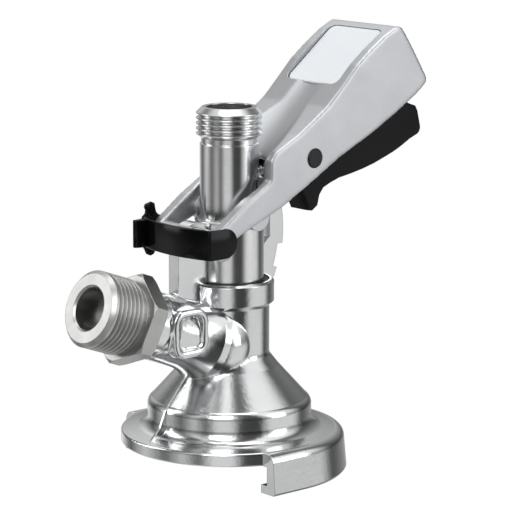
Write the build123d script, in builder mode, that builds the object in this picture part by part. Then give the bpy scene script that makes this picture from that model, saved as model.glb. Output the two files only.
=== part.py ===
"""Slide-on keg coupler: body casting, sliding probe, lever handle with latch trigger, and gas inlet.

Frame: Z up along the probe, origin where the probe axis meets the keg seating plane.
The lever lies in the XZ plane, its handle towards +X and the gas inlet towards -X. Millimetres.
"""

import os
from math import cos, radians, sin, sqrt

from build123d import *

os.makedirs("parts", exist_ok=True)

# ---- shared fits -------------------------------------------------------------------
running = 0.05  # radial gap of a shaft turning or sliding in its bore
slack = 0.3  # gap between pieces that move past each other

# ---- body --------------------------------------------------------------------------
flange_radius = 38.0
flange_height = 4.6
shoulder_radius = 28.7
shoulder_low = 10.6
shoulder_high = 13.6
neck_radius = 13.95
cone_top = 31.0
collar_radius = 15.6
collar_low = 50.0
collar_top = 57.6
collar_chamfer = 1.5

# hook skirt that slides under the keg neck
skirt_radius = 41.2
skirt_wall = 4.2
skirt_drop = 9.5
lip_reach = 3.0
lip_height = 2.9
guide_length = 14.5

# probe
probe_radius = 12.0
tube_radius = 10.2
outlet_radius = 8.0
outlet_depth = 18.0
probe_bore = 6.9
probe_top = 117.6
thread_radius = 11.455  # G5/8 major radius
thread_low = 107.6
thread_chamfer = 2.0
piston_low = 49.5
stem_radius = 8.2
stem_low = 3.0
drive_flat = 8.5  # half width across the drive flats
front_land_top = 79.0
groove_line = 104.9  # turned line below the thread

# lever hinge and the pins that drive the probe
hinge_x = -17.0
hinge_z = 73.0
drive_rise = 7.8  # the drive pins stand this far above the hinge at rest
drive_pin_radius = 3.3
drive_pin_tip = 8.9
drive_pin_depth = 2.4
drive_lobe_radius = 4.4
arm_inner = 13.0
arm_outer = 17.5
arm_end_radius = 5.2
hinge_pin_radius = 2.5
barrel_radius = 4.7

# lug and latch post standing on the collar
lug_half = 2.65
lug_front = -24.7
lug_hub_radius = 6.4
post_half = 2.6
post_reach = 39.5  # radius of the post's outer edge about the hinge
post_top = 81.2
hook_low = 67.6

# trigger grip and its latch
release_x = 23.9
release_z = 99.2
release_pin_radius = 3.4
grip_half = 12.5
pawl_half = 2.2
pawl_slot_half = 3.2
pawl_tip_reach = 39.85  # radius of the pawl's tip about the hinge, clear of the post
cross_x = 19.7
cross_z = 93.2
cross_pin_radius = 3.2
cross_waist_radius = 2.0

# label recess in the handle's top
label_length = 28.6
label_width = 27.0
label_depth = 1.5
label_corner = 3.2

# gas inlet
inlet_angle = 20.0
inlet_height = 33.0  # where the inlet axis crosses the probe axis
boss_radius = 12.3
boss_end = 42.2
washer_height = 0.9
hex_height = 6.0
hex_across_flats = 28.0
inlet_thread_radius = 13.22  # G3/4 major radius
inlet_thread_length = 16.0
inlet_thread_chamfer = 1.3
inlet_bore = 7.3
tail_radius = 9.1
tail_length = 12.5
gas_passage = 3.8
valve_chamber = 6.8
valve_stroke = 2.5

# seals
keg_seal_outer = 24.0
keg_seal_inner = 17.5
keg_seal_height = 3.5
wiper_outer = 14.0
wiper_height = 2.6
o_ring_wire = 0.95

# retaining clip
clip_half_width = 18.4
clip_front = 27.0  # how far the band's middle stands in front of the probe axis
clip_band = 1.7
clip_low = 69.0
clip_high = 79.3
clip_tab_radius = 5.2

thread_pitch = 1.814
thread_depth = 1.16

# rounded edges
ridge_round = 2.4
ridge_drop = 2.6
grip_round = 1.5

# ---- worked out from the sizes above -----------------------------------------------
groove_centre = hinge_z + drive_rise
groove_half = drive_pin_radius + slack
probe_hole = probe_radius + running
o_ring_low = piston_low + 2.1
o_ring_high = piston_low + 4.9
hex_low = boss_end + washer_height
hex_top = hex_low + hex_height
inlet_face = hex_top + inlet_thread_length
tail_low = hex_low - tail_length
seat_level = hex_top + 2.6

side_plane = Plane(origin=(0, 0, 0), x_dir=(1, 0, 0), z_dir=(0, -1, 0))
guide_plane = Plane(origin=(0, 0, 0), x_dir=(0, -1, 0), z_dir=(-1, 0, 0))
inlet_out = Vector(-cos(radians(inlet_angle)), 0, sin(radians(inlet_angle)))
inlet_up = Vector(sin(radians(inlet_angle)), 0, cos(radians(inlet_angle)))
inlet_plane = Plane(origin=(0, 0, inlet_height), x_dir=(0, -1, 0), z_dir=inlet_out)
inlet_section = Plane(origin=(0, 0, inlet_height), x_dir=inlet_up, z_dir=(0, -1, 0))
inlet_axis = Axis((0, 0, inlet_height), inlet_out)
ease_plane = Plane(origin=(64.0, 0, 142.0), x_dir=(0, 1, 0), z_dir=(53.0, 0, 38.0))
label_plane = Plane(origin=(48.4, 0, 132.0), x_dir=(23.0, 0, 18.2), z_dir=(-18.2, 0, 23.0))


def save(piece, name):
    """Labels a finished piece and writes it to its own file."""
    piece.label = name
    export_step(piece, f"parts/{name}.step")


def ridges(major, start, end):
    """Corner points along a row of thread ridges, as (radius, height) pairs."""
    step = thread_pitch if end > start else -thread_pitch
    points = []
    for turn in range(int(abs(end - start) / thread_pitch)):
        base = start + turn * step
        points.append((major, base))
        points.append((major, base + 0.14 * step))
        points.append((major - thread_depth, base + 0.46 * step))
        points.append((major - thread_depth, base + 0.6 * step))
        points.append((major, base + 0.92 * step))
    return points


def body_outline():
    """Half section of the bell, from the seating plane up to the collar's top."""
    Polyline((0, 0), (flange_radius - 0.5, 0), (flange_radius, 0.5), (flange_radius, flange_height - 0.9))
    ThreePointArc(
        (flange_radius, flange_height - 0.9),
        (flange_radius - 0.3, flange_height - 0.25),
        (flange_radius - 1.0, flange_height),
    )
    Line((flange_radius - 1.0, flange_height), (shoulder_radius + 3.4, flange_height + 0.9))
    ThreePointArc(
        (shoulder_radius + 3.4, flange_height + 0.9),
        (shoulder_radius + 0.9, flange_height + 2.6),
        (shoulder_radius, shoulder_low),
    )
    Line((shoulder_radius, shoulder_low), (shoulder_radius, shoulder_high))
    ThreePointArc(
        (shoulder_radius, shoulder_high),
        (shoulder_radius - 0.5, shoulder_high + 1.4),
        (shoulder_radius - 1.5, shoulder_high + 2.4),
    )
    Line((shoulder_radius - 1.5, shoulder_high + 2.4), (neck_radius + 1.2, cone_top - 1.6))
    ThreePointArc(
        (neck_radius + 1.2, cone_top - 1.6),
        (neck_radius + 0.3, cone_top - 0.1),
        (neck_radius, cone_top + 1.8),
    )
    Polyline(
        (neck_radius, cone_top + 1.8),
        (neck_radius, collar_low - collar_chamfer),
        (collar_radius, collar_low),
        (collar_radius, collar_top - 0.8),
        (collar_radius - 0.8, collar_top),
        (0, collar_top),
        (0, 0),
    )


def skirt_outline():
    """Section of the hook skirt, radius across and height up."""
    inner = skirt_radius - skirt_wall
    Polyline(
        (shoulder_radius, 0),
        (inner, 0),
        (inner, lip_height - skirt_drop),
        (inner - lip_reach, lip_height - skirt_drop),
        (inner - lip_reach, -skirt_drop),
        (skirt_radius - 0.7, -skirt_drop),
        (skirt_radius, 0.9 - skirt_drop),
        (skirt_radius - 0.9, 1.6),
    )
    ThreePointArc(
        (skirt_radius - 0.9, 1.6),
        (skirt_radius - 1.7, 3.6),
        (skirt_radius - 3.6, flange_height),
    )
    Polyline((skirt_radius - 3.6, flange_height), (shoulder_radius, flange_height), (shoulder_radius, 0))


def post_outline():
    """Side view of the latch post: an arc about the hinge, a hook and a lower ledge."""
    top_x = hinge_x + sqrt(post_reach**2 - (post_top - hinge_z) ** 2)
    hook_x = hinge_x + sqrt(post_reach**2 - (hook_low - hinge_z) ** 2)
    Line((16.3, post_top), (top_x, post_top))
    ThreePointArc((top_x, post_top), (hinge_x + post_reach, hinge_z), (hook_x, hook_low))
    Polyline(
        (hook_x, hook_low),
        (19.9, hook_low),
        (19.0, 63.6),
        (17.9, 59.8),
        (19.6, 59.3),
        (18.4, 56.5),
        (15.0, collar_low + 1.5),
        (10.0, collar_low + 1.5),
        (10.0, 68.0),
        (13.6, 68.3),
        (16.3, 70.6),
        (16.3, post_top),
    )


def ridge_outline():
    """Side view of the raised parting line down the front of the bell."""
    Polyline(
        (-neck_radius, cone_top + 3),
        (-neck_radius - 1.9, cone_top - 1.2),
        (-shoulder_radius - 0.1, shoulder_high + 1.2),
        (-shoulder_radius - 2.6, flange_height + 4.4),
        (-flange_radius + 3.2, flange_height + 0.9),
        (-flange_radius + 1.2, flange_height - 0.2),
        (-shoulder_radius + 3, flange_height - 0.2),
        (-neck_radius + 1, cone_top),
        close=True,
    )


def make_body_casting():
    """Bell, slide skirt, inlet boss, hinge lug and latch post, cast in one."""
    with BuildPart() as body:
        with BuildSketch(Plane.XZ):
            with BuildLine():
                body_outline()
            make_face()
        revolve(axis=Axis.Z)

        # hook skirt: half a turn round the handle side, then straight guides
        with BuildSketch(guide_plane):
            with BuildLine():
                skirt_outline()
            make_face()
        revolve(axis=Axis.Z, revolution_arc=180)
        with BuildSketch(guide_plane):
            with BuildLine():
                skirt_outline()
            make_face()
        extrude(amount=guide_length)
        with BuildSketch(Plane.YZ):
            with BuildLine():
                skirt_outline()
            make_face()
        extrude(amount=-guide_length)

        # inlet boss, swelling where it leaves the neck
        with BuildSketch(inlet_section):
            with BuildLine():
                Polyline((0, 0), (boss_radius + 2.6, 8), (boss_radius + 1.9, 15))
                ThreePointArc((boss_radius + 1.9, 15), (boss_radius + 0.3, 19.5), (boss_radius - 0.4, 25))
                Polyline(
                    (boss_radius - 0.4, 25),
                    (boss_radius - 0.8, boss_end - 0.6),
                    (boss_radius - 1.4, boss_end),
                    (0, boss_end),
                    (0, 0),
                )
            make_face()
        revolve(axis=inlet_axis)

        # hinge lug at the front
        with BuildSketch(side_plane):
            with BuildLine():
                Polyline(
                    (lug_front, collar_low),
                    (lug_front, hinge_z - 3),
                    (hinge_x, hinge_z),
                    (2 - probe_radius, hinge_z),
                    (2 - probe_radius, collar_low),
                    close=True,
                )
            make_face()
            with Locations((hinge_x, hinge_z)):
                Circle(lug_hub_radius)
        extrude(amount=lug_half, both=True)

        # latch post at the back
        with BuildSketch(side_plane):
            with BuildLine():
                post_outline()
            make_face()
        extrude(amount=post_half, both=True)

        # raised parting line
        with BuildSketch(side_plane):
            with BuildLine():
                ridge_outline()
            make_face()
        extrude(amount=0.55, both=True)

        # bores, from the keg side up
        with BuildSketch(Plane.XZ):
            with BuildLine():
                Polyline(
                    (0, 0),
                    (keg_seal_outer, 0),
                    (keg_seal_outer, keg_seal_height),
                    (keg_seal_inner, keg_seal_height),
                    (keg_seal_inner, 12),
                    (probe_hole, 27),
                    (probe_hole, collar_top - wiper_height),
                    (wiper_outer, collar_top - wiper_height),
                    (wiper_outer, collar_top),
                    (0, collar_top),
                    close=True,
                )
            make_face()
        revolve(axis=Axis.Z, mode=Mode.SUBTRACT)
        with BuildSketch(Plane.XY.offset(collar_top)):
            Circle(probe_radius + slack)
        extrude(amount=30, mode=Mode.SUBTRACT)

        # gas passage and the nipple's socket
        with BuildSketch(inlet_plane.offset(probe_radius - 2)):
            Circle(gas_passage)
        extrude(amount=boss_end - 12, mode=Mode.SUBTRACT)
        with BuildSketch(inlet_plane.offset(boss_end)):
            Circle(tail_radius + running)
        extrude(amount=tail_low - boss_end - 1, mode=Mode.SUBTRACT)

        # hinge hole
        with BuildSketch(side_plane):
            with Locations((hinge_x, hinge_z)):
                Circle(hinge_pin_radius + running)
        extrude(amount=lug_half + 1, both=True, mode=Mode.SUBTRACT)
    save(body.part, "body_casting")


def make_seals():
    """Rubber seal against the keg, the probe's wiper, its two O-rings and the tip seal."""
    with BuildPart() as keg_seal:
        with BuildSketch():
            Circle(keg_seal_outer)
            Circle(keg_seal_inner, mode=Mode.SUBTRACT)
        extrude(amount=keg_seal_height)
    save(keg_seal.part, "keg_seal")

    with BuildPart() as wiper:
        with BuildSketch(Plane.XZ):
            with BuildLine():
                Polyline(
                    (probe_hole, collar_top - wiper_height),
                    (wiper_outer, collar_top - wiper_height),
                    (wiper_outer, collar_top - 0.5),
                    (wiper_outer - 0.6, collar_top - 0.2),
                    (probe_hole, collar_top - 1.0),
                    close=True,
                )
            make_face()
        revolve(axis=Axis.Z)
    save(wiper.part, "probe_wiper")

    with BuildPart() as rings:
        for height in (o_ring_low, o_ring_high):
            with BuildSketch(Plane.XZ):
                with Locations((probe_radius - o_ring_wire, height)):
                    Circle(o_ring_wire)
            revolve(axis=Axis.Z)
    save(rings.part, "probe_o_rings")

    with BuildPart() as tip:
        with BuildSketch(Plane.XZ):
            with BuildLine():
                Polyline(
                    (stem_radius - 1.7, stem_low),
                    (stem_radius + 0.9, stem_low),
                    (stem_radius + 1.5, stem_low + 1.2),
                    (stem_radius + 0.6, stem_low + 4.0),
                    (stem_radius - 1.7, stem_low + 4.0),
                    close=True,
                )
            make_face()
        revolve(axis=Axis.Z)
    save(tip.part, "probe_tip_seal")


def make_probe_tube():
    """Stainless probe: threaded outlet, drive flats, sealing piston and stem."""
    slot_low = groove_centre - groove_half
    slot_high = groove_centre + groove_half
    with BuildPart() as probe:
        with BuildSketch(Plane.XZ):
            with BuildLine():
                Polyline(
                    (outlet_radius, probe_top),
                    (thread_radius - thread_chamfer, probe_top),
                    *ridges(thread_radius, probe_top - thread_chamfer, thread_low + 0.6),
                    (thread_radius, thread_low + 0.65),
                    (tube_radius - 0.4, thread_low - 0.6),
                    (tube_radius - 0.4, groove_line + 0.3),
                    (tube_radius, groove_line),
                    (tube_radius, front_land_top),
                    (probe_radius - 0.5, front_land_top),
                    (probe_radius, front_land_top - 0.5),
                    (probe_radius, piston_low),
                    (stem_radius, piston_low - 3),
                    (stem_radius, stem_low + 4.0),
                    (stem_radius - 1.7, stem_low + 4.0),
                    (stem_radius - 1.7, stem_low + 0.5),
                    (stem_radius - 2.4, stem_low + 0.5),
                    (stem_radius - 2.4, piston_low),
                    (probe_bore, piston_low + 4),
                    (probe_bore, probe_top - outlet_depth - 2),
                    (outlet_radius, probe_top - outlet_depth),
                    close=True,
                )
            make_face()
        revolve(axis=Axis.Z)
        # drive flats, one each side
        for side in (-1, 1):
            with Locations((0, side * (drive_flat + 4), groove_centre)):
                Box(30, 8, 2 * groove_half, mode=Mode.SUBTRACT)
        for height in (o_ring_low, o_ring_high):
            with BuildSketch(Plane.XZ):
                with Locations((probe_radius - o_ring_wire, height)):
                    Rectangle(2 * o_ring_wire, 2 * o_ring_wire)
            revolve(axis=Axis.Z, mode=Mode.SUBTRACT)
    save(probe.part, "probe_tube")


def make_inlet():
    """Hexagon nipple with its washer."""
    with BuildPart() as nipple:
        with BuildSketch(inlet_plane.offset(hex_low)):
            RegularPolygon(hex_across_flats / 2, 6, major_radius=False, rotation=22)
        extrude(amount=hex_height)
        corner = hex_across_flats / sqrt(3)
        with BuildSketch(inlet_section):
            with BuildLine():
                Polyline(
                    (0, hex_low),
                    (corner - 1.2, hex_low),
                    (corner + 0.1, hex_low + 0.8),
                    (corner + 0.1, hex_top - 0.8),
                    (corner - 1.2, hex_top),
                    (0, hex_top),
                    close=True,
                )
            make_face()
        revolve(axis=inlet_axis, mode=Mode.INTERSECT)
        with BuildSketch(inlet_section):
            with BuildLine():
                Polyline(
                    (0, tail_low),
                    (tail_radius - 0.6, tail_low),
                    (tail_radius, tail_low + 0.6),
                    (tail_radius, hex_low),
                    (tail_radius, hex_top),
                    (inlet_thread_radius - 1.4, hex_top),
                    (inlet_thread_radius - 1.4, hex_top + 1.8),
                    *ridges(inlet_thread_radius, hex_top + 2.9, inlet_face - inlet_thread_chamfer),
                    (inlet_thread_radius, inlet_face - inlet_thread_chamfer),
                    (inlet_thread_radius - inlet_thread_chamfer, inlet_face),
                    (0, inlet_face),
                    close=True,
                )
            make_face()
        revolve(axis=inlet_axis)
        # stepped bore with the valve's seat in the middle
        with BuildSketch(inlet_section):
            with BuildLine():
                Polyline(
                    (0, tail_low),
                    (valve_chamber, tail_low),
                    (valve_chamber, seat_level),
                    (5.0, seat_level),
                    (5.0, seat_level + 1.6),
                    (inlet_bore, seat_level + 1.6),
                    (inlet_bore, inlet_face - 0.7),
                    (inlet_bore + 0.7, inlet_face),
                    (0, inlet_face),
                    close=True,
                )
            make_face()
        revolve(axis=inlet_axis, mode=Mode.SUBTRACT)
    save(nipple.part, "inlet_nipple")

    with BuildPart() as washer:
        with BuildSketch(inlet_plane.offset(boss_end)):
            Circle(boss_radius - 1.5)
            Circle(tail_radius + running, mode=Mode.SUBTRACT)
        extrude(amount=washer_height)
    save(washer.part, "nipple_washer")


def make_check_valve():
    """Non-return valve inside the nipple: cage, spring, poppet and its rubber face."""
    poppet_top = seat_level - 1.3
    with BuildPart() as cage:
        with BuildSketch(inlet_plane.offset(tail_low)):
            Circle(valve_chamber)
            Circle(2.6 + 2 * running, mode=Mode.SUBTRACT)
            with PolarLocations(4.7, 6):
                Circle(1.0, mode=Mode.SUBTRACT)
        extrude(amount=2.2)
    save(cage.part, "valve_cage")

    with BuildPart() as poppet:
        with BuildSketch(inlet_section):
            with BuildLine():
                Polyline(
                    (0, tail_low + 0.6),
                    (2.1, tail_low + 0.6),
                    (2.6, tail_low + 1.4),
                    (2.6, poppet_top - 2.2),
                    (5.8, poppet_top - 1.8),
                    (5.8, poppet_top),
                    (0, poppet_top),
                    close=True,
                )
            make_face()
        revolve(axis=inlet_axis)
    save(poppet.part, "valve_poppet")

    with BuildPart() as disc:
        with BuildSketch(inlet_plane.offset(poppet_top)):
            Circle(5.9)
        extrude(amount=1.2)
        chamfer(disc.faces().filter_by(GeomType.PLANE).edges(), 0.3)
    save(disc.part, "valve_disc")

    spring_low = tail_low + 2.2 + 0.45
    spring_length = poppet_top - 2.4 - 0.45 - spring_low
    with BuildPart() as spring:
        with BuildLine():
            coil = Helix(
                pitch=spring_length / 5,
                height=spring_length,
                radius=4.3,
                center=Vector(0, 0, inlet_height) + inlet_out * spring_low,
                direction=inlet_out,
            )
        with BuildSketch(Plane(origin=coil @ 0, z_dir=coil % 0)):
            Circle(0.45)
        sweep(is_frenet=True)
    save(spring.part, "valve_spring")


def handle_outline():
    """Side view of the lever from its hinge end to the handle's tip."""
    Polyline(
        (hinge_x + 4.7, hinge_z + 2.1),
        (0.7, 80.6),
        (9.6, 84.3),
        (21.1, 90.5),
        (32.7, 96.8),
        (40.9, 100.6),
        (50.6, 105.1),
        (61.9, 111.1),
        (72.6, 117.5),
        (76.4, 120.9),
    )
    ThreePointArc((76.4, 120.9), (77.2, 122.0), (76.9, 123.3))
    Polyline((76.9, 123.3), (70.8, 133.4), (65.8, 140.0))
    ThreePointArc((65.8, 140.0), (64.3, 141.5), (62.1, 141.9))
    Spline((62.1, 141.9), (56.8, 139.3), (50.0, 134.8), (43.2, 129.6), (36.6, 122.9), (29.7, 116.5), (16.3, 107.7), (6.3, 102.9))
    ThreePointArc((6.3, 102.9), (4.3, 101.0), (3.9, 97.6))
    Polyline((3.9, 97.6), (3.9, 93.0), (-8.0, 86.0), (hinge_x - 2.3, hinge_z + 4.6))
    Polyline((hinge_x - 2.3, hinge_z + 4.6), (hinge_x, hinge_z), (hinge_x + 4.7, hinge_z + 2.1))


def make_handle():
    """Lever casting: fork arms, hollow handle with a scooped front, and the label recess."""
    scoop_radius = 18.0
    scoop_lean = radians(43.0)
    scoop_foot = (15.0 - scoop_radius * sin(scoop_lean), 0, 101.0 + scoop_radius * cos(scoop_lean))
    scoop_axis = Plane(origin=scoop_foot, z_dir=(cos(scoop_lean), 0, sin(scoop_lean)))
    with BuildPart() as handle:
        with BuildSketch(side_plane):
            with BuildLine():
                handle_outline()
            make_face()
            with Locations((hinge_x, hinge_z)):
                Circle(arm_end_radius)
        extrude(amount=arm_outer, both=True)
        # both long ridges are eased by a slanted cut
        for side in (-1, 1):
            with BuildSketch(ease_plane):
                with BuildLine():
                    Polyline(
                        (side * (arm_outer + 1), -ridge_drop),
                        (side * arm_outer, -ridge_drop),
                        (side * (arm_outer - ridge_round), 0),
                        (side * (arm_outer - ridge_round), 4),
                        (side * (arm_outer + 1), 4),
                        close=True,
                    )
                make_face()
            extrude(amount=-90, mode=Mode.SUBTRACT)
        # scoop between the handle's two ridges
        with BuildSketch(scoop_axis.offset(-40)):
            Circle(scoop_radius)
        extrude(amount=80, mode=Mode.SUBTRACT)
        # way through for the probe
        with BuildSketch(Plane.XY.offset(60)):
            Circle(arm_inner + 0.6)
            with Locations((-20, 0)):
                Rectangle(40, 2 * arm_inner)
        extrude(amount=70, mode=Mode.SUBTRACT)
        # hollow underside that takes the grip
        with BuildSketch(side_plane):
            with BuildLine():
                Polyline(
                    (-5, 60),
                    (-5, 79.6),
                    (39.4, 121.0),
                    (60.6, 136.1),
                    (63.0, 136.3),
                    (67.5, 131.0),
                    (73.4, 121.8),
                    (73.4, 60),
                    close=True,
                )
            make_face()
        extrude(amount=arm_inner, both=True, mode=Mode.SUBTRACT)
        # relief that lets the latch post pass when the lever is down
        with BuildSketch(side_plane):
            with Locations((hinge_x, hinge_z)):
                Circle(post_reach + 0.5)
        extrude(amount=pawl_slot_half, both=True, mode=Mode.SUBTRACT)
        # barrels that reach in to the lug, and lobes round the drive pins
        for side in (-1, 1):
            with BuildSketch(side_plane.offset(side * (lug_half + slack))):
                with Locations((hinge_x, hinge_z)):
                    Circle(barrel_radius)
            extrude(amount=side * (arm_inner - lug_half - slack + 0.5))
            with BuildSketch(side_plane.offset(side * arm_inner)):
                with Locations((0, groove_centre)):
                    Circle(drive_lobe_radius)
            extrude(amount=side * (drive_pin_depth + 0.8))
            with BuildSketch(side_plane.offset(side * arm_inner)):
                with Locations((0, groove_centre)):
                    Circle(drive_pin_radius)
            extrude(amount=side * drive_pin_depth, mode=Mode.SUBTRACT)
        # pin holes
        with BuildSketch(side_plane):
            with Locations((hinge_x, hinge_z)):
                Circle(hinge_pin_radius + running)
            with Locations((release_x, release_z)):
                Circle(release_pin_radius)
        extrude(amount=arm_outer + 1, both=True, mode=Mode.SUBTRACT)
        # label recess
        with BuildSketch(label_plane):
            RectangleRounded(label_length, label_width, label_corner)
        extrude(amount=12, mode=Mode.SUBTRACT)
        with BuildSketch(label_plane):
            RectangleRounded(label_length, label_width, label_corner)
        extrude(amount=-label_depth, mode=Mode.SUBTRACT)
    save(handle.part, "handle_casting")

    with BuildPart() as label:
        with BuildSketch(label_plane.offset(-label_depth)):
            RectangleRounded(label_length - 0.3, label_width - 0.3, label_corner - 0.15)
        extrude(amount=label_depth - 0.2)
        fillet(label.faces().sort_by(Axis(label_plane.origin, label_plane.z_dir))[-1].edges(), 0.5)
    save(label.part, "label_plate")


def make_pins():
    """Hinge pin, drive pins, release pin and the turned pin across the grip."""
    with BuildPart() as hinge:
        with BuildSketch(side_plane):
            with Locations((hinge_x, hinge_z)):
                Circle(hinge_pin_radius)
        extrude(amount=arm_outer - 0.2, both=True)
    save(hinge.part, "hinge_pin")

    for side, name in ((1, "drive_pin_near"), (-1, "drive_pin_far")):
        with BuildPart() as drive:
            with BuildSketch(side_plane.offset(side * drive_pin_tip)):
                with Locations((0, groove_centre)):
                    Circle(drive_pin_radius)
            extrude(amount=side * (arm_inner + drive_pin_depth - drive_pin_tip))
        save(drive.part, name)

    with BuildPart() as release:
        with BuildSketch(side_plane):
            with Locations((release_x, release_z)):
                Circle(release_pin_radius)
        extrude(amount=arm_outer + 0.4, both=True)
        chamfer(release.edges().group_by(Axis.Y)[0] + release.edges().group_by(Axis.Y)[-1], 0.5)
    save(release.part, "release_pin")

    with BuildPart() as cross:
        with BuildSketch(side_plane):
            with Locations((cross_x, cross_z)):
                Circle(cross_pin_radius)
        extrude(amount=grip_half - 0.1, both=True)
        with BuildSketch(side_plane):
            with Locations((cross_x, cross_z)):
                Circle(cross_pin_radius + 1)
                Circle(cross_waist_radius, mode=Mode.SUBTRACT)
        extrude(amount=pawl_slot_half, both=True, mode=Mode.SUBTRACT)
    save(cross.part, "cross_pin")


def make_grip():
    """Trigger grip in the handle's hollow, and the steel pawl it works."""
    with BuildPart() as grip:
        with BuildSketch(side_plane):
            with BuildLine():
                Polyline(
                    (24.6, 80.6),
                    (26.3, 82.5),
                    (27.2, 86.5),
                    (29.2, 88.6),
                    (32.7, 90.0),
                    (36.2, 91.2),
                    (47.3, 93.2),
                    (57.9, 96.3),
                    (66.4, 99.7),
                    (73.6, 103.6),
                )
                ThreePointArc((73.6, 103.6), (75.6, 104.9), (75.7, 106.6))
                Polyline((75.7, 106.6), (74.1, 112.7), (72.0, 119.4), (68.6, 120.4), (58.0, 113.4))
                Polyline((58.0, 113.4), (40.0, 106.6), (30.0, 104.6), (26.5, 104.0), (21.5, 101.6))
                Polyline((21.5, 101.6), (17.2, 96.9), (15.7, 94.3), (16.9, 91.2), (19.1, 89.7), (24.6, 80.6))
            make_face()
        extrude(amount=grip_half, both=True)
        rim = grip.edges().filter_by(lambda edge: abs(abs(edge.center().Y) - grip_half) < 0.01)
        fillet(rim.filter_by(lambda edge: 30 < edge.center().X and edge.center().Z < 108), grip_round)
        # slot for the pawl and the post
        with BuildSketch(side_plane):
            Polygon((10, 75), (29.5, 75), (29.5, 110), (10, 110), align=None)
        extrude(amount=pawl_slot_half, both=True, mode=Mode.SUBTRACT)
        # opening in front of the cross pin
        with BuildSketch(side_plane):
            Polygon((10, 90.0), (19.0, 90.0), (23.6, 91.5), (23.6, 94.5), (20, 110), (10, 110), align=None)
        extrude(amount=grip_half - 3, both=True, mode=Mode.SUBTRACT)
        # hollow underneath the finger bar
        with BuildSketch(side_plane):
            with Locations((release_x, release_z)):
                Circle(release_pin_radius + running)
            with Locations((cross_x, cross_z)):
                Circle(cross_pin_radius)
        extrude(amount=grip_half + 1, both=True, mode=Mode.SUBTRACT)
    save(grip.part, "squeeze_grip")

    tip_high = radians(17.8)
    tip_low = radians(12.8)
    high_x = hinge_x + pawl_tip_reach * cos(tip_high)
    high_z = hinge_z + pawl_tip_reach * sin(tip_high)
    low_x = hinge_x + pawl_tip_reach * cos(tip_low)
    low_z = hinge_z + pawl_tip_reach * sin(tip_low)
    with BuildPart() as pawl:
        with BuildSketch(side_plane):
            with BuildLine():
                Polyline(
                    (release_x + 3.2, release_z - 3.6),
                    (release_x - 1.2, release_z - 4.6),
                    (high_x + 1.8, high_z + 4.8),
                    (high_x + 0.7, high_z + 1.9),
                    (high_x, high_z),
                    (low_x, low_z),
                    (low_x + 3.2, low_z + 0.6),
                    (low_x + 5.5, low_z + 6.2),
                    close=True,
                )
            make_face()
            with Locations((release_x, release_z)):
                Circle(4.6)
                Circle(release_pin_radius + running, mode=Mode.SUBTRACT)
        extrude(amount=pawl_half, both=True)
    save(pawl.part, "latch_pawl")


def make_clip():
    """Plastic clip that snaps over the ends of the hinge pin."""
    back = hinge_x + clip_tab_radius
    with BuildPart() as clip:
        with BuildSketch(Plane.XY.offset(clip_low)):
            with BuildLine():
                ThreePointArc((-23.8, -clip_half_width), (-clip_front, 0), (-23.8, clip_half_width))
                Polyline((-23.8, clip_half_width), (hinge_x, clip_half_width), (hinge_x, arm_outer + 0.1))
                Line((hinge_x, arm_outer + 0.1), (-22.4, arm_outer + 0.1))
                ThreePointArc(
                    (-22.4, arm_outer + 0.1), (clip_band - clip_front, 0), (-22.4, -arm_outer - 0.1)
                )
                Polyline((-22.4, -arm_outer - 0.1), (hinge_x, -arm_outer - 0.1), (hinge_x, -clip_half_width))
                Line((hinge_x, -clip_half_width), (-23.8, -clip_half_width))
            make_face()
        extrude(amount=clip_high - clip_low)
        for side in (-1, 1):
            with BuildSketch(side_plane.offset(side * (arm_outer + 0.1))):
                with Locations((back - clip_tab_radius + 0.2, (clip_low + clip_high) / 2)):
                    Circle((clip_high - clip_low) / 2)
            extrude(amount=side * (clip_half_width - arm_outer - 0.1))
        # finger lip standing out from the band's far end
        with BuildSketch(Plane.XY.offset(clip_low + 0.6)):
            Polygon((-25.4, 12.2), (-29.6, 14.4), (-29.2, 15.8), (-24.4, 16.6), align=None)
        extrude(amount=clip_high - clip_low - 1.2)
        # taller far side with a knob above and below
        with BuildSketch(side_plane.offset(-(arm_outer + 0.1))):
            with BuildLine():
                Polyline((-22.6, 66.0), (-19.0, 65.0), (-15.0, 69.0), (-15.0, 79.0), (-19.0, 83.6), (-22.6, 82.6))
                Line((-22.6, 82.6), (-22.6, 66.0))
            make_face()
        extrude(amount=-(clip_half_width - arm_outer - 0.1))
    save(clip.part, "retaining_clip")


make_body_casting()
make_seals()
make_probe_tube()
make_inlet()
make_check_valve()
make_handle()
make_pins()
make_grip()
make_clip()
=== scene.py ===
"""Looks of the slide-on keg coupler: cast and moulded shells, finishes, light and camera."""

import logging
import math
from dataclasses import dataclass, field
from enum import Enum

import bpy
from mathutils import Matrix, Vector

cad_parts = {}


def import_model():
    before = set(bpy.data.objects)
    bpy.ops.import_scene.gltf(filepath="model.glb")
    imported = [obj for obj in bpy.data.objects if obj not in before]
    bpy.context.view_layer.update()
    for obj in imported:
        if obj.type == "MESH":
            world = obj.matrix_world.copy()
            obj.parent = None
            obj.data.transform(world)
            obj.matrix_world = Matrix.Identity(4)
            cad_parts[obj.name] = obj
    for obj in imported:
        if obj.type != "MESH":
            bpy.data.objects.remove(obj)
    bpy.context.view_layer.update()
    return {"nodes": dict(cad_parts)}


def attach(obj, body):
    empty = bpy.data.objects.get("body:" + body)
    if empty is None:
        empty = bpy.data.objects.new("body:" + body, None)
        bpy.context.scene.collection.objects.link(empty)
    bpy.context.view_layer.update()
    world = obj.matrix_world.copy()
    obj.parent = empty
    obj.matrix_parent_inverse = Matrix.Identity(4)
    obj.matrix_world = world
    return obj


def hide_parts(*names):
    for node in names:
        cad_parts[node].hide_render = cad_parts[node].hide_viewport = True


log = logging.getLogger("keg_coupler")

# millimetres to metres, and millimetres in a metre
MM = 0.001
METRE_MM = 1000.0
# how far the inlet's axis rises towards its mouth
INLET_RISE_DEG = 20.0
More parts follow.
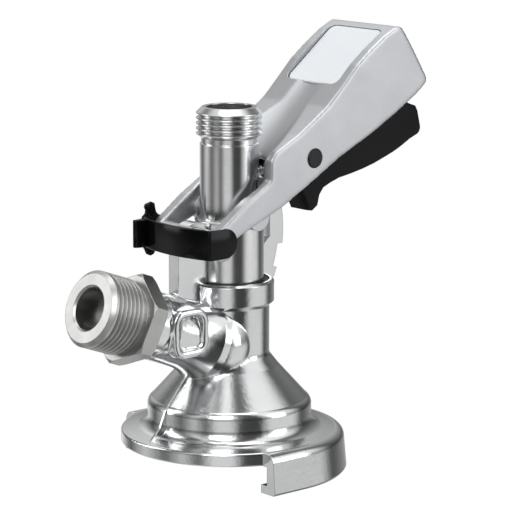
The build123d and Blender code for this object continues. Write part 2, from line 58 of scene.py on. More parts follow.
# soft mottling of a surface, and the finer noise of its relief
PATCH_NOISE = {"Detail": 5.0, "Roughness": 0.6}
GRAIN_NOISE = {"Detail": 3.0, "Roughness": 0.55}
# turning marks are long round the axis and fine along it
TURNED_STRETCH = (0.04, 0.04, 1.0)
# height of the relief, as a share of its size
RELIEF_SHARE = 0.25
# smoothest surface that a finish may have
LEAST_ROUGH = 0.02


def srgb(code: str) -> tuple:
    """Turns an sRGB hex colour into the linear RGBA that shaders use.

    Args:
        code: six hex digits.

    Returns:
        Linear red, green, blue and an alpha of 1.
    """
    parts = [int(code[i : i + 2], 16) / 255 for i in (0, 2, 4)]
    linear = [c / 12.92 if c <= 0.04045 else ((c + 0.055) / 1.055) ** 2.4 for c in parts]
    return (*linear, 1.0)


def add_node(
    tree: bpy.types.NodeTree, kind: str, setup: dict | None = None, links: dict | None = None, **values
) -> bpy.types.Node:
    """Adds a node with its settings, input values and links.

    Args:
        tree: the node tree.
        kind: the node's type.
        setup: the node's own settings by name.
        links: the output that feeds each input, by the input's name or number.
        values: input values by name, with a low line for a space.

    Returns:
        The node.
    """
    node = tree.nodes.new(kind)
    for key, value in (setup or {}).items():
        setattr(node, key, value)
    for key, value in values.items():
        node.inputs[key.replace("_", " ")].default_value = value
    for key, source in (links or {}).items():
        tree.links.new(source, node.inputs[key])
    return node


class Wear(Enum):
    """How a surface's fine relief runs."""

    CAST = "cast"
    TURNED_UPRIGHT = "turned_upright"
    TURNED_INLET = "turned_inlet"


@dataclass(frozen=True)
class Finish:
    """One real surface finish, built as a procedural material.

    Args:
        name: the real material's name.
        colour: base colour as sRGB hex.
        shade: the darker or lighter colour it is mottled with, as sRGB hex.
        metallic: 1 for bare metal, 0 for a plastic.
        rough: middle roughness.
        rough_spread: how far roughness varies either way.
        patch_mm: size of the mottling, in millimetres.
        relief_mm: size of the fine relief, in millimetres.
        relief: strength of the fine relief.
        wear: how the relief runs.
        edge_mm: radius of the worn edges, in millimetres.
        edge_samples: how finely the worn edges are worked out.
        specular: strength of the surface reflection of a plastic.
    """

    name: str
    colour: str
    shade: str
    metallic: float
    rough: float
    rough_spread: float
    patch_mm: float
    relief_mm: float
    relief: float
    wear: Wear = Wear.CAST
    edge_mm: float = 0.35
    edge_samples: int = 6
    specular: float = 0.5

    def build(self) -> bpy.types.Material:
        """Builds the node tree.

        Returns:
            The finished material.
        """
        material = bpy.data.materials.new(self.name)
        material.use_nodes = True
        tree = material.node_tree
        shader = tree.nodes["Principled BSDF"]
        place = add_node(tree, "ShaderNodeTexCoord").outputs["Object"]
        patches = add_node(
            tree, "ShaderNodeTexNoise", links={"Vector": place}, Scale=METRE_MM / self.patch_mm, **PATCH_NOISE
        ).outputs["Fac"]
        mix = add_node(
            tree,
            "ShaderNodeMix",
            setup={"data_type": "RGBA"},
            links={"Factor": patches},
            A=srgb(self.colour),
            B=srgb(self.shade),
        )
        tree.links.new(mix.outputs["Result"], shader.inputs["Base Color"])
        spread = add_node(
            tree,
            "ShaderNodeMapRange",
            links={"Value": patches},
            To_Min=max(self.rough - self.rough_spread, LEAST_ROUGH),
            To_Max=self.rough + self.rough_spread,
        )
        tree.links.new(spread.outputs["Result"], shader.inputs["Roughness"])
        shader.inputs["Metallic"].default_value = self.metallic
        shader.inputs["Specular IOR Level"].default_value = self.specular
        edge = add_node(
            tree, "ShaderNodeBevel", setup={"samples": self.edge_samples}, Radius=self.edge_mm / METRE_MM
        )
        grain = add_node(
            tree,
            "ShaderNodeTexNoise",
            links={"Vector": self.lay(tree, place)},
            Scale=METRE_MM / self.relief_mm,
            **GRAIN_NOISE,
        )
        bump = add_node(
            tree,
            "ShaderNodeBump",
            links={"Height": grain.outputs["Fac"], "Normal": edge.outputs["Normal"]},
            Strength=self.relief,
            Distance=self.relief_mm * RELIEF_SHARE / METRE_MM,
        )
        tree.links.new(bump.outputs["Normal"], shader.inputs["Normal"])
        return material

    def lay(self, tree: bpy.types.NodeTree, place: bpy.types.NodeSocket) -> bpy.types.NodeSocket:
        """Turns the relief to the way the surface was made.

        Args:
            tree: the material's node tree.
            place: the output that gives the point on the object.

        Returns:
            The output that the relief reads.
        """
        if self.wear is Wear.CAST:
            return place
        lean = INLET_RISE_DEG - 90.0 if self.wear is Wear.TURNED_INLET else 0.0
        lay = add_node(
            tree,
            "ShaderNodeMapping",
            links={"Vector": place},
            Scale=TURNED_STRETCH,
            Rotation=(0.0, math.radians(lean), 0.0),
        )
        return lay.outputs["Vector"]


# cast brass, polished and chromed: mirror bright, with a faint ripple from the mould
CAST_CHROME = Finish("polished_chrome_casting", "dcdddd", "c8cacb", 1.0, 0.17, 0.06, 14.0, 1.6, 0.10)
# turned stainless steel of the probe and pins: bright, with rings round the axis
TURNED_STEEL = Finish(
    "turned_stainless", "e0e0e0", "d0d1d2", 1.0, 0.2, 0.05, 6.0, 0.35, 0.12, Wear.TURNED_UPRIGHT
)
# nickel plate over the turned hexagon nipple: greyer and duller than the casting
NICKEL = Finish("matt_nickel", "b7b7b5", "a2a3a2", 1.0, 0.34, 0.06, 5.0, 0.4, 0.15, Wear.TURNED_INLET)
# bead-blasted aluminium of the lever handle: an even, silky pale grey
HANDLE = Finish("blasted_aluminium", "c1c3c5", "b3b5b8", 1.0, 0.42, 0.05, 12.0, 0.5, 0.10)
# film in the handle's recess, left blank: off-white with a low shine
LABEL = Finish("blank_label_film", "d8dbde", "d0d4d8", 0.0, 0.32, 0.03, 20.0, 0.3, 0.02)
# moulded acetal of the retaining clip: black with sharp highlights
CLIP = Finish("gloss_black_acetal", "060607", "0a0a0b", 0.0, 0.14, 0.04, 8.0, 0.6, 0.03, specular=0.17)
# moulded nylon of the squeeze grip: black with a broad, soft shine
GRIP = Finish("satin_black_nylon", "070708", "0b0b0c", 0.0, 0.34, 0.06, 7.0, 0.4, 0.08, specular=0.14)
# blackened steel of the release pin: dark, with a dull metal glint
BLACK_PIN = Finish("blackened_steel", "1b1b1c", "262628", 0.6, 0.36, 0.06, 3.0, 0.3, 0.06)
# moulded nitrile of the seals: matt black
RUBBER = Finish("nitrile_rubber", "121213", "1a1a1b", 0.0, 0.6, 0.06, 4.0, 0.3, 0.08)
# turned acetal of the non-return valve: milky white
VALVE = Finish("white_acetal", "d9d9d4", "cfcfc9", 0.0, 0.4, 0.05, 5.0, 0.4, 0.04)
# hard-drawn steel of the spring and the pawl: mid grey with a soft shine
SPRING = Finish("spring_steel", "a5a6a7", "8f9092", 1.0, 0.3, 0.05, 3.0, 0.3, 0.08)


class Bench:
    """Modelling steps shared by the pieces. Sizes in millimetres, objects at the origin."""

    ROUND_SIDES = 72

    @staticmethod
    def only(obj: bpy.types.Object) -> None:
        """Makes one object the only selected and active one.

        Args:
            obj: the object.
        """
        bpy.ops.object.select_all(action="DESELECT")
        obj.select_set(True)
        bpy.context.view_layer.objects.active = obj

    @staticmethod
    def settle(obj: bpy.types.Object) -> bpy.types.Object:
        """Bakes an object's place, turn and scale into its mesh.

        Args:
            obj: the object.

        Returns:
            The same object.
        """
        Bench.only(obj)
        bpy.ops.object.transform_apply(location=True, rotation=True, scale=True)
        return obj

    @staticmethod
    def prism(name: str, outline: list, low: float, high: float, flat: bool = False) -> bpy.types.Object:
        """Draws an outline and gives it depth.

        Args:
            name: the object's name.
            outline: corner points in order, as (X, Z) pairs, or (X, Y) pairs when flat.
            low: where it starts along Y, or along Z when flat.
            high: where it ends.
            flat: True for an outline seen from above.

        Returns:
            The closed prism.
        """
        bpy.ops.mesh.primitive_circle_add(vertices=len(outline), radius=1.0, fill_type="NGON")
        obj = bpy.context.active_object
        obj.name = name
        for vertex, (a, b) in zip(obj.data.vertices, outline):
            vertex.co = Vector((a, b, low) if flat else (a, low, b)) * MM
        step = (high - low) * MM
        Bench.only(obj)
        bpy.ops.object.mode_set(mode="EDIT")
        bpy.ops.mesh.select_all(action="SELECT")
        move = (0, 0, step) if flat else (0, step, 0)
        bpy.ops.mesh.extrude_region_move(TRANSFORM_OT_translate={"value": move})
        bpy.ops.mesh.select_all(action="SELECT")
        bpy.ops.mesh.normals_make_consistent(inside=False)
        bpy.ops.object.mode_set(mode="OBJECT")
        return obj

    @staticmethod
    def rod(
        name: str, radius: float, start: Vector, end: Vector, end_radius: float | None = None
    ) -> bpy.types.Object:
        """Adds a round rod or cone between two points.

        Args:
            name: the object's name.
            radius: radius at the start.
            start: centre of the first end.
            end: centre of the second end.
            end_radius: radius at the second end, the same when left out.

        Returns:
            The rod.
        """
        along = end - start
        tip = radius if end_radius is None else end_radius
        bpy.ops.mesh.primitive_cone_add(
            vertices=Bench.ROUND_SIDES, radius1=radius * MM, radius2=tip * MM, depth=along.length * MM
        )
        obj = bpy.context.active_object
        obj.name = name
        obj.rotation_mode = "QUATERNION"
        obj.rotation_quaternion = along.to_track_quat("Z", "Y")
        obj.location = (start + end) / 2 * MM
        return Bench.settle(obj)

    @staticmethod
    def upright(
        name: str, radius: float, ends: tuple, end_radius: float | None = None
    ) -> bpy.types.Object:
        """A rod or cone on the probe's axis, from one Z to another."""
        return Bench.rod(name, radius, Vector((0, 0, ends[0])), Vector((0, 0, ends[1])), end_radius)

    @staticmethod
    def across(name: str, place: tuple, radius: float, low: float, high: float) -> bpy.types.Object:
        """A rod along Y at an (X, Z) place, from one Y to another."""
        return Bench.rod(name, radius, Vector((place[0], low, place[1])), Vector((place[0], high, place[1])))

    @staticmethod
    def soften(obj: bpy.types.Object, voxel: float, passes: int) -> None:
        """Melts joined solids into one skin and rounds its corners.

        Args:
            obj: the piece.
            voxel: size of the new skin's cells.
            passes: how many times the skin is relaxed.
        """
        Bench.modify(obj, "REMESH", mode="VOXEL", voxel_size=voxel * MM)
        Bench.modify(obj, "SMOOTH", factor=0.5, iterations=passes)

    @staticmethod
    def ease(obj: bpy.types.Object, edge: float, steps: int, angle_rad: float) -> None:
        """Rounds a piece's sharp edges.

        Args:
            obj: the piece.
            edge: width of the rounding, in millimetres.
            steps: number of facets across it.
            angle_rad: least turn that counts as a sharp edge.
        """
        Bench.modify(
            obj, "BEVEL", width=edge * MM, segments=steps, limit_method="ANGLE", angle_limit=angle_rad
        )

    @staticmethod
    def modify(obj: bpy.types.Object, kind: str, **values) -> None:
        """Adds one modifier, sets it and applies it.

        Args:
            obj: the piece.
            kind: the modifier's type.
            values: its settings by name.
        """
        Bench.only(obj)
        modifier = obj.modifiers.new(kind.lower(), kind)
        for key, value in values.items():
            setattr(modifier, key, value)
        bpy.ops.object.modifier_apply(modifier=modifier.name)

    @staticmethod
    def cut(obj: bpy.types.Object, tools: list) -> None:
        """Cuts tool objects out of a piece and removes them.

        Args:
            obj: the piece.
            tools: closed objects, cut in this order.
        """
        for tool in tools:
            Bench.modify(obj, "BOOLEAN", operation="DIFFERENCE", solver="MANIFOLD", object=tool)
            bpy.data.objects.remove(tool)

    @staticmethod
    def join(parts: list) -> bpy.types.Object:
        """Joins objects into the first one.

        Args:
            parts: the objects.

        Returns:
            The first object, which now holds them all.
        """
        bpy.ops.object.select_all(action="DESELECT")
        for part in parts:
            part.select_set(True)
        bpy.context.view_layer.objects.active = parts[0]
        bpy.ops.object.join()
        return parts[0]

    @staticmethod
    def smooth(obj: bpy.types.Object, angle: float = 35.0) -> None:
        """Shades a piece smooth up to an angle in degrees.

        Args:
            obj: the piece.
            angle: the sharpest turn that still looks smooth, in degrees.
        """
        Bench.only(obj)
        bpy.ops.object.shade_smooth_by_angle(angle=math.radians(angle))


def arc(centre: tuple, radius: float, start: float, end: float, count: int) -> list:
    """Points along an arc.

    Args:
        centre: its centre.
        radius: its radius in millimetres.
        start: first angle in degrees.
        end: last angle in degrees.
        count: number of points.

    Returns:
        The points as pairs.
    """
    turns = [math.radians(start + (end - start) * k / (count - 1)) for k in range(count)]
    return [(centre[0] + radius * math.cos(t), centre[1] + radius * math.sin(t)) for t in turns]


def rounded(centre: tuple, half: tuple, corner: float, inset: float, count: int) -> list:
    """Outline of a rectangle with round corners.

    Args:
        centre: its centre.
        half: half its width and half its height.
        corner: radius of its corners.
        inset: how far the outline is moved in.
        count: number of points in each corner.

    Returns:
        The points as pairs.
    """
    across, up = half[0] - corner, half[1] - corner
    points = []
    for turn, (side, level) in enumerate(((1, 1), (-1, 1), (-1, -1), (1, -1))):
        middle = (centre[0] + side * across, centre[1] + level * up)
        points += arc(middle, corner - inset, turn * 90, turn * 90 + 90, count)
    return points


@dataclass
class CastBlends:
    """Soft cast fillets where the boss, neck, bell and lug meet, and the rim on the boss's side.

    Sizes are in millimetres. A cutter runs past the skin by clear, and voxel and passes say how softly
    the parts melt together.
    """

    name: str = "cast_blends"
    cross_z: float = 33.0
    rise_deg: float = INLET_RISE_DEG
    boss_radius: float = 11.75
    boss_length: float = 38.0
    neck_radius: float = 13.8
    neck_ends: tuple = (26.0, 50.0)
    bell_radius: float = 27.4
    bell_ends: tuple = (14.0, 31.5)
    collar_radius: float = 15.4
    collar_top: float = 56.5
    lug_sides: tuple = (-24.5, -12.0)
    lug_ends: tuple = (48.0, 64.0)
    lug_half: float = 2.5
    swell_radius: float = 15.0
    swell_at: float = 8.5
    swell_squash: float = 0.98
    swell_facets: tuple = (64, 32)
    rim_at: float = 29.0
    rim_rise: float = 0.9
    rim_half: tuple = (7.6, 8.4)
    rim_corner: float = 5.0
    rim_wall: float = 2.6
    rim_face: float = 13.1
    rim_root: float = 4.0
    bore_radius: float = 13.1
    bore_ends: tuple = (20.0, 90.0)
    bell_bore_radius: float = 21.5
    bell_bore_ends: tuple = (6.0, 27.5)
    inlet_bore_radius: float = 10.0
    clear: float = 20.0
    inlet_clear: float = 60.0
    voxel: float = 0.55
    passes: int = 9
    smooth_deg: float = 60.0

    def along(self, distance: float) -> Vector:
        """A point on the inlet's axis, in millimetres from the probe's axis."""
        rise = math.radians(self.rise_deg)
        return Vector((-math.cos(rise) * distance, 0, self.cross_z + math.sin(rise) * distance))

    def swell(self) -> bpy.types.Object:
        """The bulge where the boss runs into the neck.

        Returns:
            The bulge, flattened a little along X.
        """
        around, up = self.swell_facets
        bpy.ops.mesh.primitive_uv_sphere_add(segments=around, ring_count=up, radius=self.swell_radius * MM)
        swell = bpy.context.active_object
        swell.location = self.along(self.swell_at) * MM
        swell.scale = (self.swell_squash, 1.0, 1.0)
        return Bench.settle(swell)

    def rim(self) -> bpy.types.Object:
        """The raised rim round the flat on the boss's side.

        Returns:
            The rim, open through its middle.
        """
        centre = self.along(self.rim_at)
        middle = (centre.x, centre.z + self.rim_rise)
        outer = rounded(middle, self.rim_half, self.rim_corner, 0, 8)
        inner = rounded(middle, self.rim_half, self.rim_corner, self.rim_wall, 8)
        rim = Bench.prism("rim", outer, -self.rim_face, -self.rim_root)
        Bench.cut(rim, [Bench.prism("rim_hollow", inner, -self.clear, 0.0)])
        return rim

    def bores(self) -> list:
        """The cutters that keep the casting's bores open.

        Returns:
            The probe bore, the bell bore and the inlet bore.
        """
        return [
            Bench.upright("bore", self.bore_radius, self.bore_ends),
            Bench.upright("bell_bore", self.bell_bore_radius, self.bell_bore_ends, self.bore_radius),
            Bench.rod("inlet_bore", self.inlet_bore_radius, self.along(0), self.along(self.inlet_clear)),
        ]

    def build(self) -> bpy.types.Object:
        """Models the blends.

        Returns:
            The finished piece.
        """
        left, right = self.lug_sides
        foot, head = self.lug_ends
        lug_corners = [(left, foot), (right, foot), (right, head), (left, head)]
        parts = [
            Bench.rod(self.name, self.boss_radius, self.along(0), self.along(self.boss_length)),
            Bench.upright("neck", self.neck_radius, self.neck_ends),
            Bench.upright("bell", self.bell_radius, self.bell_ends, self.neck_radius),
            Bench.upright("collar", self.collar_radius, (self.neck_ends[1], self.collar_top)),
            Bench.prism("lug", lug_corners, -self.lug_half, self.lug_half),
            self.swell(),
            self.rim(),
        ]
        piece = Bench.join(parts)
        Bench.soften(piece, self.voxel, self.passes)
        Bench.cut(piece, self.bores())
        Bench.smooth(piece, self.smooth_deg)
        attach(piece, "body")
        return piece


@dataclass
class HandleShell:
    """Cast lever: fork arms, saddle behind the probe, hollow underside and the label recess.

    Sizes are in millimetres, and places are (X, Z) pairs. A cutter runs past the lever by clear, and
    voxel and passes say how soft its cast edges are.
    """

    name: str = "handle_shell"
    half_width: float = 17.5
    inner: float = 13.0
    arch: float = 13.7
    cut_ends: tuple = (60.0, 130.0)
    gap_start: float = -40.0
    hinge: tuple = (-17.0, 73.0)
    hinge_radius: float = 5.3
    barrel_radius: float = 4.7
    barrel_start: float = 2.95
    barrel_sink: float = 0.4
    pin_radius: float = 2.55
    release: tuple = (23.9, 99.2)
    release_radius: float = 3.45
    drive: tuple = (0.0, 80.8)
    drive_radius: float = 3.32
    drive_depth: float = 2.5
    lobe_radius: float = 4.5
    lobe_ends: tuple = (12.9, 16.0)
    socket_start: float = 12.0
    post_reach: float = 40.0
    post_half: float = 3.2
    scoop_radius: float = 18.0
    scoop_lean_deg: float = 43.0
    scoop_foot: tuple = (15.0, 101.0)
    scoop_half: float = 40.0
    label_centre: tuple = (48.4, 132.0)
    label_lean_deg: float = 38.35
    label_size: tuple = (28.7, 27.1)
    label_corner: float = 3.2
    label_depth: float = 1.5
    label_clear: float = 12.0
    clear: float = 20.0
    voxel: float = 0.62
    passes: int = 7
    smooth_deg: float = 50.0

    def outline(self) -> list:
        """Side view of the lever, as (X, Z) pairs.

        Returns:
            The outline, from the hinge along the underside and back over the ridge.
        """
        under = [(-12.3, 75.1), (0.7, 80.6), (9.6, 84.3), (21.1, 90.5), (32.7, 96.8), (40.9, 100.6)]
        under += [(50.6, 105.1), (61.9, 111.1), (72.6, 117.5)]
        tip = arc((75.6, 122.3), 1.9, -60, 30, 6) + [(70.8, 133.4), (66.0, 140.3)]
        tip += arc((63.2, 139.2), 2.9, 30, 110, 7)
        ridge = [(56.8, 139.3), (50.0, 134.8), (43.2, 129.6), (36.6, 122.9), (29.7, 116.5), (22.9, 111.9)]
        ridge += [(16.3, 107.7), (9.6, 104.4), (6.3, 102.7), (4.4, 100.6), (3.9, 97.6), (3.9, 93.0)]
        ridge += [(-8.0, 86.0)]
        end = arc(self.hinge, self.hinge_radius, 117, 385, 20)
        return under + tip + ridge + end

    def cavity(self) -> list:
        """Side view of the hollow under the lever, as (X, Z) pairs.

        Returns:
            The outline, open downwards past the lever.
        """
        top = [(-5, 79.6), (39.4, 121.0), (60.6, 136.1), (63.0, 136.3), (67.5, 131.0), (73.4, 121.8)]
        return [(-5, self.cut_ends[0])] + top + [(73.4, self.cut_ends[0])]

    def hollows(self) -> list:
        """The cutters for the saddle, the arch round the probe, the fork's gap and the hollow underside.

        Returns:
            The cutters in the order they are used.
        """
        lean = math.radians(self.scoop_lean_deg)
        ahead = Vector((math.cos(lean), 0, math.sin(lean)))
        foot_x, foot_z = self.scoop_foot
        away = self.scoop_radius
        foot = Vector((foot_x - away * math.sin(lean), 0, foot_z + away * math.cos(lean)))
        low, high = self.cut_ends
        gap = [(self.gap_start, low), (0, low), (0, high), (self.gap_start, high)]
        start, end = foot - ahead * self.scoop_half, foot + ahead * self.scoop_half
        return [
            Bench.rod("scoop", self.scoop_radius, start, end),
            Bench.upright("arch", self.arch, self.cut_ends),
            Bench.prism("gap", gap, -self.inner, self.inner),
            Bench.prism("cavity", self.cavity(), -self.inner, self.inner),
        ]

    def label_pocket(self) -> bpy.types.Object:
        """The cutter for the label recess.

        Returns:
            The cutter, leaning as the handle's top does.
        """
        half = (self.label_size[0] / 2, self.label_size[1] / 2)
        corners = rounded((0, 0), half, self.label_corner, 0, 7)
        pocket = Bench.prism("pocket", corners, -self.label_depth, self.label_clear, flat=True)
        pocket.rotation_euler = (0, -math.radians(self.label_lean_deg), 0)
        pocket.location = Vector((self.label_centre[0], 0, self.label_centre[1])) * MM
        return Bench.settle(pocket)

    def bearings(self, side: int) -> list:
        """The hinge barrel and the drive pin's lobe of one fork arm.

        Args:
            side: 1 or -1, the arm's side along Y.

        Returns:
            The two parts.
        """
        far = side * (self.inner + self.barrel_sink)
        barrel = Bench.across("barrel", self.hinge, self.barrel_radius, side * self.barrel_start, far)
        Bench.cut(barrel, [Bench.across("hole", self.hinge, self.pin_radius, -self.clear, self.clear)])
        lobe_in, lobe_out = side * self.lobe_ends[0], side * self.lobe_ends[1]
        lobe = Bench.across("lobe", self.drive, self.lobe_radius, lobe_in, lobe_out)
        deep = side * (self.inner + self.drive_depth)
        socket = Bench.across("socket", self.drive, self.drive_radius, side * self.socket_start, deep)
        Bench.cut(lobe, [socket])
        return [barrel, lobe]

    def build(self) -> bpy.types.Object:
        """Models the lever.

        Returns:
            The finished piece.
        """
        handle = Bench.prism(self.name, self.outline(), -self.half_width, self.half_width)
        Bench.cut(handle, self.hollows())
        Bench.soften(handle, self.voxel, self.passes)
        holes = [
            Bench.across("relief", self.hinge, self.post_reach, -self.post_half, self.post_half),
            Bench.across("hinge_hole", self.hinge, self.pin_radius, -self.clear, self.clear),
            Bench.across("release_hole", self.release, self.release_radius, -self.clear, self.clear),
            self.label_pocket(),
        ]
        Bench.cut(handle, holes)
        piece = Bench.join([handle] + self.bearings(-1) + self.bearings(1))
        Bench.smooth(piece, self.smooth_deg)
        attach(piece, "lever")
        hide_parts("handle_casting")
        return piece


@dataclass
class GripShell:
    """Moulded trigger grip with rounded edges, slotted for the pawl. Sizes are in millimetres."""

    name: str = "grip_shell"
    half_width: float = 12.5
    wall: float = 3.0
    slot_half: float = 3.2
    slot_x: tuple = (10.0, 29.5)
    slot_z: tuple = (70.0, 112.0)
    edge: float = 1.1
    edge_steps: int = 4
    edge_angle_rad: float = 1.1
    pin: tuple = (23.9, 99.2)
    pin_radius: float = 3.45
    cross: tuple = (19.7, 93.2)
    cross_radius: float = 3.22

    def outline(self) -> list:
        """Side view of the grip, as (X, Z) pairs.

        Returns:
            The outline, from the trigger along the underside and back over the top.
        """
        under = [(25.6, 80.0), (27.8, 79.6), (30.2, 81.2), (31.2, 85.0), (33.0, 87.2), (36.6, 88.7)]
        under += [(40.4, 89.9), (46.0, 90.8), (51.5, 91.9), (57.0, 93.3), (62.1, 95.0), (66.6, 96.6)]
        under += [(70.6, 98.4), (74.6, 100.5)]
        heel = arc((76.8, 104.4), 2.9, -60, 15, 7)
        back = [(78.2, 110.6), (77.2, 112.4), (74.2, 113.4), (72.4, 114.4), (71.4, 118.4), (68.6, 120.2)]
        top = [(58.0, 113.4), (40.0, 106.6), (30.0, 104.6), (26.5, 104.0), (21.5, 101.6), (17.2, 96.9)]
        front = [(15.7, 94.3), (16.9, 91.2), (20.2, 89.4), (23.4, 84.6)]
        return under + heel + back + top + front

    def build(self) -> bpy.types.Object:
        """Models the grip.

        Returns:
            The finished piece.
        """
        grip = Bench.prism(self.name, self.outline(), -self.half_width, self.half_width)
        Bench.ease(grip, self.edge, self.edge_steps, self.edge_angle_rad)
        (left, right), (foot, head) = self.slot_x, self.slot_z
        slot = [(left, foot), (right, foot), (right, head), (left, head)]
        window = [(8, 90), (19, 90), (23.6, 91.5), (23.6, 94.5), (20, head), (8, head)]
        reach, inside = self.half_width + self.wall, self.half_width - self.wall
        tools = [
            Bench.prism("slot", slot, -self.slot_half, self.slot_half),
            Bench.prism("window", window, -inside, inside),
            Bench.across("pin", self.pin, self.pin_radius, -reach, reach),
            Bench.across("cross", self.cross, self.cross_radius, -reach, reach),
        ]
        Bench.cut(grip, tools)
        Bench.smooth(grip)
        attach(grip, "release")
        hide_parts("squeeze_grip")
        return grip


@dataclass
class ClipShell:
    """Black clip: bowed front band, round near tab and a taller far side with two knobs, in millimetres."""

    name: str = "clip_shell"
    low: float = 69.0
    high: float = 79.3
    inner: float = 17.6
    outer: float = 18.4
    far_extra: float = 0.6
    band: float = 1.6
    front: float = 27.0
    corner: float = 23.6
    root: float = 23.8
    lip_inset: float = 0.3
    edge: float = 0.35
    edge_steps: int = 3
    edge_angle_rad: float = 0.7
    round_x: float = -16.8

    def bow(self, offset: float, half: float, count: int = 25) -> list:
        """Plan view of one face of the band, from the near side to the far side.

        Args:
            offset: how far the face lies behind the front.
            half: half the face's width.
            count: number of points.

        Returns:
            The points as (X, Y) pairs.
        """
        points = []
        for k in range(count):
            y = -half + 2 * half * k / (count - 1)
            share = (y / half) ** 2
            points.append((-(self.front - offset) + (self.front - self.corner) * share, y))
        return points

    def far_side(self, ear: list) -> list:
        """Side view of the far side with its lower and upper knobs, as (X, Z) pairs.

        Args:
            ear: the points of its round end, from bottom to top.

        Returns:
            The outline.
        """
        lower = [(-self.root, self.low), (-22.8, 67.6), (-22.0, 65.9), (-20.6, 65.3), (-19.2, 65.7)]
        lower += [(-18.3, 67.2), (self.round_x, 68.9)]
        upper = [(self.round_x, self.high), (-18.0, 80.4), (-18.5, 82.0), (-18.7, 83.6), (-20.0, 84.2)]
        upper += [(-22.4, 83.6), (-22.9, 82.6), (-22.3, 81.4), (-22.5, 80.2), (-self.root, self.high)]
        return lower + ear + upper

    def build(self) -> bpy.types.Object:
        """Models the clip.

        Returns:
            The finished piece.
        """
        middle = (self.round_x, (self.low + self.high) / 2)
        radius = (self.high - self.low) / 2
        plan = self.bow(0, self.outer) + list(reversed(self.bow(self.band, self.inner)))
        lip = [(-25.2, 14.4), (-28.4, 15.0), (-29.4, 16.0), (-29.2, 16.9), (-26.2, 17.3), (-24.0, 18.3)]
        lip += [(-23.2, 17.5)]
        lip_low, lip_high = self.low + self.lip_inset, self.high - self.lip_inset
        tab = [(-self.root, self.high), (-self.root, self.low)] + arc(middle, radius, -90, 90, 17)
        far = self.far_side(arc(middle, radius, -80, 80, 13))
        parts = [
            Bench.prism(self.name, plan, self.low, self.high, flat=True),
            Bench.prism("lip", lip, lip_low, lip_high, flat=True),
            Bench.prism("near", tab, -self.outer, -self.inner),
            Bench.prism("far", far, self.inner, self.outer + self.far_extra),
        ]
        piece = Bench.join(parts)
        Bench.ease(piece, self.edge, self.edge_steps, self.edge_angle_rad)
        Bench.smooth(piece)
        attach(piece, "lever")
        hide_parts("retaining_clip")
        return piece


@dataclass
class Dressing:
    """Gives each CAD node and each modelled piece its finish."""

    finishes: dict = field(
        default_factory=lambda: {
            CAST_CHROME: ["body_casting", "cast_blends"],
            TURNED_STEEL: ["probe_tube", "cross_pin", "hinge_pin", "drive_pin_near", "drive_pin_far"],
            NICKEL: ["inlet_nipple"],
            HANDLE: ["handle_casting", "handle_shell"],
            LABEL: ["label_plate"],
            CLIP: ["retaining_clip", "clip_shell"],
            GRIP: ["squeeze_grip", "grip_shell"],
            BLACK_PIN: ["release_pin"],
            RUBBER: [
                "keg_seal",
                "probe_wiper",
                "probe_o_rings",
                "probe_tip_seal",
                "valve_disc",
                "nipple_washer",
            ],
            VALVE: ["valve_poppet", "valve_cage"],
            SPRING: ["valve_spring", "latch_pawl"],
        }
    )

    def apply(self, nodes: dict, pieces: dict) -> None:
        """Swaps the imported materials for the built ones.

        Args:
            nodes: the frame's objects by name.
            pieces: the modelled pieces by name.
        """
        wearers = {**nodes, **pieces}
        for finish, names in self.finishes.items():
            material = finish.build()
            for name in names:
                wearers[name].data.materials.clear()
                wearers[name].data.materials.append(material)
                log.info("%s wears %s", name, finish.name)


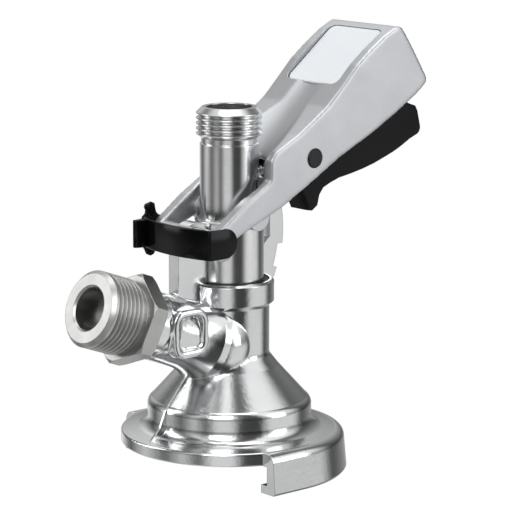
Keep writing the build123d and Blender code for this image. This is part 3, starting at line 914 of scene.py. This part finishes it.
@dataclass
class Studio:
    """White background, grey room for the reflections, soft boxes and the camera."""

    lens_mm: float = 179.15
    sensor_mm: float = 36.0
    clip_range: tuple = (0.02, 20.0)
    eye: tuple = (-0.5605, -0.6680, 0.23549)
    heading: tuple = (0.6428, 0.7660)
    pitch_deg: float = 11.08
    shift_x: float = 0.0545
    white: tuple = (1.0, 1.0, 1.0, 1.0)
    target: tuple = (0.0, 0.0, 0.06)
    room_strength: float = 1.35
    # name, size, place and watts of each soft box
    boxes: tuple = (
        ("key", (0.5, 0.7), (-0.75, -0.55, 0.75), 4.5),
        ("fill", (0.4, 0.8), (0.55, -0.85, 0.35), 2.5),
        ("rim", (0.3, 0.8), (-0.6, 0.6, 0.4), 2.0),
        ("top", (0.6, 0.6), (0.1, 0.1, 0.95), 3.0),
    )
    # grey level of the room from straight down to straight up
    by_height: tuple = ((0.0, 0.75), (0.4, 0.7), (0.5, 0.22), (0.6, 0.5), (0.78, 0.9), (1.0, 1.0))
    # grey level of the room once round it, from -X by way of -Y
    by_bearing: tuple = (
        (0.0, 0.75),
        (0.05, 0.12),
        (0.09, 1.0),
        (0.15, 1.0),
        (0.18, 0.08),
        (0.26, 0.06),
        (0.3, 0.95),
        (0.42, 0.95),
        (0.47, 0.08),
        (0.58, 0.4),
        (0.7, 0.95),
        (0.78, 0.1),
        (0.86, 0.85),
        (0.94, 0.15),
        (1.0, 0.75),
    )

    def soft_box(self, name: str, size: tuple, place: tuple, power: float) -> None:
        """Adds one soft box that faces the coupler.

        Args:
            name: its name.
            size: width and height in metres.
            place: where it stands.
            power: watts.
        """
        data = bpy.data.lights.new(name, "AREA")
        data.shape = "RECTANGLE"
        data.size, data.size_y = size
        data.energy = power
        light = bpy.data.objects.new(name, data)
        bpy.context.scene.collection.objects.link(light)
        light.location = place
        light.rotation_mode = "QUATERNION"
        light.rotation_quaternion = (Vector(self.target) - Vector(place)).to_track_quat("-Z", "Y")

    @staticmethod
    def grey_ramp(
        tree: bpy.types.NodeTree, source: bpy.types.NodeSocket, steps: tuple
    ) -> bpy.types.NodeSocket:
        """Adds a colour ramp of grey steps.

        Args:
            tree: the world's node tree.
            source: the output that drives it, from 0 to 1.
            steps: pairs of position and grey level.

        Returns:
            The ramp's colour output.
        """
        ramp = add_node(tree, "ShaderNodeValToRGB", links={"Fac": source})
        for _ in range(len(steps) - 2):
            ramp.color_ramp.elements.new(0.5)
        for element, (at, grey) in zip(ramp.color_ramp.elements, steps):
            element.position = at
            element.color = (grey, grey, grey, 1.0)
        return ramp.outputs["Color"]

    def room(self, tree: bpy.types.NodeTree) -> bpy.types.Node:
        """The grey room that lights the coupler and shows in its metal.

        Args:
            tree: the world's node tree.

        Returns:
            The background node.
        """
        place = add_node(tree, "ShaderNodeTexCoord").outputs["Generated"]
        split = add_node(tree, "ShaderNodeSeparateXYZ", links={"Vector": place}).outputs
        lift = add_node(tree, "ShaderNodeMapRange", links={"Value": split["Z"]}, From_Min=-1.0)
        bearing = add_node(
            tree, "ShaderNodeMath", setup={"operation": "ARCTAN2"}, links={0: split["Y"], 1: split["X"]}
        )
        turn = add_node(
            tree,
            "ShaderNodeMapRange",
            links={"Value": bearing.outputs["Value"]},
            From_Min=-math.pi,
            From_Max=math.pi,
        )
        both = add_node(
            tree,
            "ShaderNodeMix",
            setup={"data_type": "RGBA", "blend_type": "MULTIPLY"},
            links={
                "A": self.grey_ramp(tree, lift.outputs["Result"], self.by_height),
                "B": self.grey_ramp(tree, turn.outputs["Result"], self.by_bearing),
            },
            Factor=1.0,
        )
        return add_node(
            tree, "ShaderNodeBackground", links={"Color": both.outputs["Result"]}, Strength=self.room_strength
        )

    def world(self) -> None:
        """White surroundings for the lens, and the grey room for light and reflections."""
        world = bpy.data.worlds.new("studio")
        bpy.context.scene.world = world
        world.use_nodes = True
        tree = world.node_tree
        tree.nodes.clear()
        ray = add_node(tree, "ShaderNodeLightPath")
        seen = add_node(tree, "ShaderNodeBackground", Color=self.white)
        links = {0: ray.outputs["Is Camera Ray"], 1: self.room(tree).outputs[0], 2: seen.outputs[0]}
        mix = add_node(tree, "ShaderNodeMixShader", links=links)
        add_node(tree, "ShaderNodeOutputWorld", links={"Surface": mix.outputs[0]})

    def camera(self) -> None:
        """Places the camera."""
        data = bpy.data.cameras.new("camera")
        data.lens = self.lens_mm
        data.sensor_width = self.sensor_mm
        data.shift_x = self.shift_x
        data.clip_start, data.clip_end = self.clip_range
        camera = bpy.data.objects.new("camera", data)
        bpy.context.scene.collection.objects.link(camera)
        camera.location = self.eye
        down = math.radians(self.pitch_deg)
        level = [part * math.cos(down) for part in self.heading]
        camera.rotation_mode = "QUATERNION"
        camera.rotation_quaternion = Vector((*level, -math.sin(down))).to_track_quat("-Z", "Y")
        bpy.context.scene.camera = camera

    def build(self) -> None:
        """Sets the surroundings, the soft boxes and the camera."""
        self.world()
        for name, size, place, power in self.boxes:
            self.soft_box(name, size, place, power)
        self.camera()
        bpy.context.scene.view_settings.view_transform = "Standard"


def main() -> None:
    """Builds the whole scene."""
    logging.basicConfig(level=logging.INFO)
    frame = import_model()
    pieces = {}
    for maker in (CastBlends(), HandleShell(), GripShell(), ClipShell()):
        pieces[maker.name] = maker.build()
        log.info("modelled %s", maker.name)
    Dressing().apply(frame["nodes"], pieces)
    Studio().build()


if __name__ == "__main__":
    main()
